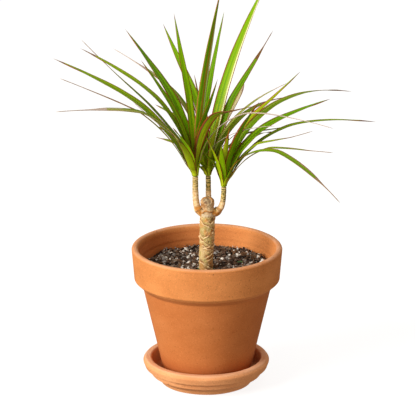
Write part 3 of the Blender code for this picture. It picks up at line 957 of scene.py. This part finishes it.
def old_bark(place, way, angle):
    """Where the old bark lies at a place on the cane, and its marks there."""
    height = place.z
    scarred = smooth((SCARS_END - height) / 0.003)
    relief, rim, line = scar_relief(angle, height, place)
    ridge, face = cut_marks(place)
    front = max(0, -sin(angle))
    collar = COLLAR_HEIGHT + COLLAR_FRONT * front + COLLAR_UNEVEN * noise(place * 190)
    ledge = hump(height - collar, 0.0008)
    upper = smooth((height - collar) / 0.0012)
    mottled = upper * smooth(0.22 + 4 * noise(place * 230))
    pit = max(hump((place - Vector(spot)).length, size) for spot, size in PITS)
    split = noise(place * 230 + Vector((0, 0, 7)))
    crack = hump(split, 0.16) * smooth(0.5 + 3 * noise(place * 90))
    olive = smooth(0.45 + 3 * noise(place * 130 + Vector((9, 0, 0))))
    browned = smooth(0.1 + 3.2 * noise(place * 210 + Vector((0, 5, 0))))
    grown = SCAR_HEIGHT * relief * scarred + BARK_GRAIN * fractal(place * 380, 1, 2, 3)
    grown += COLLAR_OUT * ledge + RIDGE_OUT * ridge - PIT_DEPTH * pit
    return place + way * grown - CUT_WAY * CUT_DEPTH * face, {
        "rim": rim * scarred,
        # Painted shadow under each scar's rim, and cracks
        "line": line * scarred + 0.9 * crack * (1 - 0.7 * scarred),
        "patch": 0.75 * scarred * olive,
        "burnt": browned * (0.4 + 0.6 * scarred),
        "bare": (1 - scarred) * (1 - 0.35 * upper),
        "stain": 1.2 * ledge + ridge + 0.35 * mottled * (1 - face),
        # Dark pits and the cut face; one pit is a painted shadow in the notch at the fork
        "wound_and_shadow": pit + 0.45 * face * (1 + noise(place * 500)),
    }


def make_cane():
    """The old cane: scarred bark, a ragged collar at the fork, and a cut top above a short neck."""
    rows = [Vector((x, z, r)) for x, z, r in CANE]
    foot = CANE[0][1] - CANE_SUNK
    rings = []
    for i in range(CANE_RINGS):
        height = blend(foot, CANE[-1][1], i / (CANE_RINGS - 1))
        centre_x, radius = cane_at(rows, height)
        centre = Vector((centre_x, CANE_DEPTH, height))
        ring = []
        for angle in angles_of(CANE_SIDES):
            way = level_way(angle)
            ring.append(old_bark(centre + way * radius, way, angle))
        rings.append(ring)
    add_bark("cane", rings, cane_finish(), "trunk")


def add_bark(name, rings, finish, node):
    """A piece skinned over rings of points, each of which comes with its marks."""
    piece = add_piece(name, tube([[point for point, _ in ring] for ring in rings]), [finish], [node])
    marks = [marks for ring in rings for _, marks in ring]
    for mark in marks[0]:
        paint(piece, mark, [min(1, max(0, values[mark])) for values in marks])


def cane_at(rows, height):
    """Sideways place and radius of the cane at a height, smooth between its named rings."""
    low = max([i for i, row in enumerate(rows[:-1]) if row.y <= height] or [0])
    share = (height - rows[low].y) / (rows[low + 1].y - rows[low].y)
    point = along(rows, (low + min(1, max(0, share))) / (len(rows) - 1))
    return point.x, max(0.0003, point.z)


def young_bark(stem, place, way, angle, from_joint, below_tip):
    """Where the bark of a stem lies at a place on it, and its marks there."""
    joint = smooth((JOINT_LENGTH - from_joint) / 0.004)
    wander = 0.0005 * sin(angle + stem.seed + below_tip * 900) + 0.0011 * noise(place * 320)
    narrow = ring_mark(below_tip + wander - 0.0013, CROWDED_PITCH, 0.0007)
    close = min(1, 2 * narrow) * smooth((CROWDED_LENGTH - below_tip) / 0.004)
    wide = ring_mark(below_tip + wander, WIDE_PITCH, 0.0006) * smooth((below_tip - 0.012) / 0.004)
    broken = smooth(0.8 + 1.9 * noise(Vector((angle * 0.9, below_tip * 900, stem.seed))))
    swell = 0.0007 * hump(from_joint - SWELLING_AT, 0.0012) * (1 + noise(place * 300))
    swell += 0.0009 * joint * noise(place * 230)
    grown = -0.00022 * close * broken + 0.00016 * wide + swell + 0.00008 * noise(place * 700)
    above = smooth(1.5 * way.z + 0.3 * noise(place * 400))
    return place + way * grown, {
        "rim": 0.7 * wide * broken,
        "stain": joint * (0.6 + 1.6 * noise(place * 260)) + 0.6 * wide * (1 - broken),
        "green": stem.scars * 0.45 * smooth((0.015 - below_tip) / 0.006),
        # Dark scars, and a painted shadow on the upper side of the crook, where the stem meets the cane
        "scar": max(0.8 * hump(from_joint - CROOK_SHADOW_AT, 0.0013) * above, stem.scars * close * broken),
    }


def make_stem(side, finish):
    """A side stem: flared and brown at the cane, and ringed by scars that crowd under the leaves."""
    stem = STEMS[side]
    path = interpolate_bezier(*[Vector(p) for p in stem.path], STEM_RINGS)
    lengths = [0]
    for start, end in zip(path, path[1:]):
        lengths.append(lengths[-1] + (end - start).length)
    rings = []
    for i, (point, gone) in enumerate(zip(path, lengths)):
        ahead = Vector((0, 0, 1))
        if i < STEM_RINGS - 1:
            ahead = (path[i + 1] - path[max(i - 1, 0)]).normalized()
        up = ahead.cross(Vector(stem.axis)).normalized()
        across = up.cross(ahead)
        radius = blend(stem.radius, stem.joint_radius, (1 - i / (STEM_RINGS - 1)) ** STEM_FLARE)
        ring = []
        for angle in angles_of(STEM_SIDES):
            way = across * cos(angle) + up * sin(angle)
            ring.append(young_bark(stem, point + way * radius, way, angle, gone, lengths[-1] - gone))
        rings.append(ring)
    add_bark(f"stem_{side}_bark", rings, finish, f"stem_{side}")


def ring_mark(distance, pitch, width):
    """1 on the nearest ring of a row of rings, and 0 between them."""
    off = (distance / pitch + 0.5) % 1 - 0.5
    return hump(off * pitch, width)


# Leaves


def spread(turns, apart):
    """Sorted turns, with neighbours pushed apart until they differ by the given angle or more."""
    slots = sorted(turns)
    for _ in range(60):
        for i in range(len(slots)):
            j = (i + 1) % len(slots)
            between = (slots[j] - slots[i]) % 360
            if between < apart:
                push = (apart - between) / 2
                slots[i] -= push
                slots[j] += push
    return slots


def leaf_line(foot, leaf):
    """The middle of a leaf: points that leave the foot steeply and bend over towards the tip."""
    outward = level_way(radians(leaf.turn))
    points = [foot.copy()]
    for i in range(LEAF_STEPS):
        bent = (1 - i / LEAF_STEPS) ** LEAF_BEND
        rise = radians(leaf.tip_rise + (leaf.foot_rise - leaf.tip_rise) * bent)
        ahead = outward * cos(rise) + Vector((0, 0, sin(rise)))
        points.append(points[-1] + ahead * leaf.length / LEAF_STEPS)
    return points


def blade_section(point, edge_way, face_way, half, bend, thick, wave):
    """Points round a blade: its upper side from edge to edge, and back along its underside."""
    curl = half / sin(bend)
    top = []
    under = []
    for u in BLADE_COLUMNS:
        ripple = RIPPLE * half * sin(wave + 4 * u) * abs(u)
        spot = point + edge_way * curl * sin(u * bend)
        spot += face_way * (curl * (1 - cos(u * bend)) + ripple)
        top.append(spot + face_way * thick / 2 * (1 - u * u))
        under.append(spot - face_way * thick / 2 * (1 - 0.6 * u * u))
    return [*top, *reversed(under[1:-1])]


def blade_rings(shares, line, stem, slot, whorl, leaf, maker):
    """Rings of points round a leaf: a sheath that clasps the stem, then a folded blade."""
    start = radians(slot)
    swing = (radians(leaf.turn) - start + pi) % tau - pi
    sway = maker.uniform(-SWAY, SWAY)
    twist = radians(maker.uniform(-TWIST, TWIST))
    waves = maker.uniform(0, 9)
    wrap = radians(whorl.wrap)
    clasp = stem.radius + whorl.clasp
    clasping = clasp * sin(wrap)
    clasped = Vector(stem.path[-1]) + level_way(start) * clasp
    sheath = min(SHEATH_LENGTH, leaf.length * 0.3)
    taper = BLUNT_TAPER if leaf.tint in BLUNT_TINTS else TAPER
    rings = []
    for i, share in enumerate(shares):
        gone = share * leaf.length
        held = 1 - smooth(gone / sheath)
        ahead = (along(line, share + 0.02) - along(line, share - 0.02)).normalized()
        angle = start + swing * (1 - held)
        aside = Vector((-sin(angle), cos(angle), 0))
        aside = (aside - ahead * aside.dot(ahead)).normalized()
        up = ahead.cross(aside)
        point = along(line, share)
        clasped.z = point.z
        point = point.lerp(clasped, held)
        point += aside * sway * sin(pi * share)
        point -= Vector((0, 0, leaf.sag * sin(pi * max(0, (share - 0.5) / 0.5))))
        tilt = radians(leaf.roll) * smooth(share / ROLL_SETTLES) + twist * smooth((share - 0.45) / 0.55)
        edge_way = aside * cos(tilt) + up * sin(tilt)
        face_way = up * cos(tilt) - aside * sin(tilt)
        foot_half = blend(whorl.width / 2 * FOOT_WIDENS, clasping, held)
        half = blend(foot_half, leaf.width * WIDER / 2, smooth(share / LEAF_WIDENS)) * (1 - share**taper)
        half *= blend(1, WITHERED, smooth((share - leaf.dries) / WITHERS_OVER))
        half = max(half, POINT_HALF_WIDTH * smooth((leaf.length - gone) / POINT_LENGTH + 0.3))
        half = max(half, clasping * held) * smooth(0.5 + (gone - SHEATH_STARTS) / SHEATH_ROUNDS)
        bend = blend(LEAF_FOLD * (1 - 0.4 * share), wrap, held)
        rolled_up = smooth((share - min(0.8, leaf.dries)) / 0.15)
        thick = blend(BLADE_THICKNESS * (1 - 0.6 * share), 1.5 * half, rolled_up)
        rings.append(blade_section(point, edge_way, face_way, half, bend, thick, i * 0.9 + waves))
    return rings


def blade_tone(strips, k, share, slot, leaf):
    """The tone of a strip at a share of its leaf's length: pale at the foot, a tone lighter in its lower part
    as painted light, and dry at the tip.
    """
    tip_tone, foot_tone = TINTS[leaf.tint][2:]
    tone = strips[k]
    gone = share * leaf.length
    if share > leaf.dries or (share > leaf.dries - 0.1 and k % 8 in (1, 6)):
        return tip_tone
    if gone < FOOT_TONE_LENGTH and tone not in ("red", "rose"):
        return foot_tone if gone < FOOT_TONE_LENGTH * 0.5 else NEXT_TONES[foot_tone]
    # Painted light: the lower part of a strip is a tone lighter, where the tuft shades it
    if gone < PAINTED_LIGHT_LENGTH * (1 + 0.4 * sin(2.4 * k + 9 * slot)):
        return PAINTED_LIGHT_TONES.get(tone, tone)
    return tone


def add_blade(bm, uv_layer, stem, slot, whorl, leaf, maker):
    """One leaf that tapers to a dry point, with its tones dealt out strip by strip."""
    start = radians(slot)
    foot = Vector(stem.path[-1]) + level_way(start) * whorl.radius + Vector((0, 0, whorl.rise))
    line = leaf_line(foot, leaf)
    starts = SHEATH_STARTS / leaf.length
    shares = [starts + (1 - starts) * (i / BLADE_RINGS) ** RINGS_CROWD for i in range(BLADE_RINGS)]
    rings = blade_rings(shares, line, stem, slot, whorl, leaf, maker)
    loops = [[bm.verts.new(p) for p in ring] for ring in rings]
    tip = bm.verts.new(line[-1])
    across_top, across_under = TINTS[leaf.tint][:2]
    strips = across_top.split()
    inner = len(BLADE_COLUMNS) - 3
    strips += [strips[-1], *(across_under.split() * inner)[:inner], strips[0]]
    sides = len(strips)
    for i, share in enumerate(shares):
        for k in range(sides):
            j = (k + 1) % sides
            corners = [loops[i][k], loops[i][j]]
            corners += [loops[i + 1][j], loops[i + 1][k]] if i + 1 < BLADE_RINGS else [tip]
            face = bm.faces.new(corners)
            face.material_index = TONE_NUMBERS[blade_tone(strips, k, share, slot, leaf)]
            for loop in face.loops:
                row = i if loop.vert in corners[:2] else i + 1
                column = k if loop.vert in (corners[0], corners[-1]) else k + 1
                loop[uv_layer].uv = (column / sides + slot, row / BLADE_RINGS + slot * 0.37)
    bm.faces.new(reversed(loops[0])).material_index = TONE_NUMBERS["lime"]


def add_core(bm, uv_layer, tip, radius):
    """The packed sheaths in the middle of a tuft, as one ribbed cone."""
    rings = []
    for i in range(CORE_RINGS + 1):
        share = i / CORE_RINGS
        size = radius * (0.98 - 0.62 * share)
        centre = Vector((tip.x, tip.y, tip.z + 0.0012 + CORE_HEIGHT * share))
        ribs = [1 + 0.06 * cos(5 * angle + 3 * share) for angle in angles_of(CORE_SIDES)]
        rings.append([centre + level_way(a) * size * rib for a, rib in zip(angles_of(CORE_SIDES), ribs)])
    for n, face in enumerate(skin(bm, rings)[:-2]):
        row, side = divmod(n, CORE_SIDES)
        face.material_index = TONE_NUMBERS["lime" if row < 5 else "light"]
        for loop in face.loops:
            loop[uv_layer].uv = (side / CORE_SIDES, row / CORE_RINGS)


def make_tuft(side, finishes, maker):
    """All the leaves of one stem in one piece."""
    stem = STEMS[side]
    bm = bmesh.new()
    uv_layer = bm.loops.layers.uv.new("blade")
    add_core(bm, uv_layer, Vector(stem.path[-1]), stem.radius)
    nodes = []
    for name, whorl in WHORLS.items():
        leaves = [Leaf(*row) for row in sorted(LEAVES[side, name])]
        for slot, leaf in zip(spread([leaf.turn for leaf in leaves], whorl.apart), leaves):
            add_blade(bm, uv_layer, stem, slot, whorl, leaf, maker)
            nodes.append(f"leaf_{side}_{len(nodes) + 1:02d}")
    for row in LEAVES[side, "strands"]:
        add_blade(bm, uv_layer, stem, row[0], WHORLS["inner"], Leaf(*row), maker)
    bmesh.ops.recalc_face_normals(bm, faces=bm.faces)
    add_piece(f"tuft_{side}", bm, finishes, nodes)


# Stage


def make_stage():
    """A wide pale floor."""
    bm = bmesh.new()
    bmesh.ops.create_circle(bm, cap_ends=True, segments=96, radius=14)
    finish = Finish("floor_white", 0.9, 0.1)
    finish.colour(finish.mix(finish.noise(0.6), (0.21, 0.21, 0.21), (0.23, 0.23, 0.23)))
    finish.shader.inputs["Emission Color"].default_value = (1, 1, 1, 1)
    finish.shader.inputs["Emission Strength"].default_value = 0.87
    floor = add_object("floor", mesh_of("floor", bm, [finish.material]))
    floor.location.z = -0.0004
    floor.visible_diffuse = False
    floor.visible_glossy = False


def make_lights():
    """Soft disks of light that face the plant, and a warm glow from all round."""
    for name, (place, size, watts, colour) in LIGHTS.items():
        light = bpy.data.lights.new(name, "AREA")
        light.shape = "DISK"
        light.size = size
        light.energy = watts
        light.color = colour
        lamp = add_object(name, light)
        lamp.location = place
        lamp.rotation_euler = (CAMERA_TARGET - Vector(place)).to_track_quat("-Z", "Y").to_euler()
        lamp.visible_camera = False
    world = bpy.data.worlds.new("studio")
    world.use_nodes = True
    world.node_tree.nodes["Background"].inputs["Color"].default_value = GLOW
    world.node_tree.nodes["Background"].inputs["Strength"].default_value = GLOW_STRENGTH
    bpy.context.scene.world = world
    bpy.context.scene.view_settings.view_transform = "Standard"


def make_camera():
    data = bpy.data.cameras.new("camera")
    data.sensor_width = SENSOR_WIDTH
    data.lens = CAMERA_FOCAL_PIXELS / IMAGE_SIDE * SENSOR_WIDTH
    data.clip_end = 60
    camera = add_object("camera", data)
    back = Vector((0, -cos(CAMERA_RISE), sin(CAMERA_RISE)))
    camera.location = CAMERA_TARGET + back * CAMERA_DISTANCE
    camera.rotation_euler = (pi / 2 - CAMERA_RISE, 0, 0)
    bpy.context.scene.camera = camera


make_stage()
make_lights()
make_camera()
make_clay()
make_soil_bed()
make_chips()
make_grains()
make_moss()
make_cane()
bark = stem_finish()
leaf_finishes = [blade_finish(f"leaf_{name}", colour) for name, colour in TONES.items()]
leaf_maker = random.Random(7)
for stem_name in STEMS:
    make_stem(stem_name, bark)
    make_tuft(stem_name, leaf_finishes, leaf_maker)
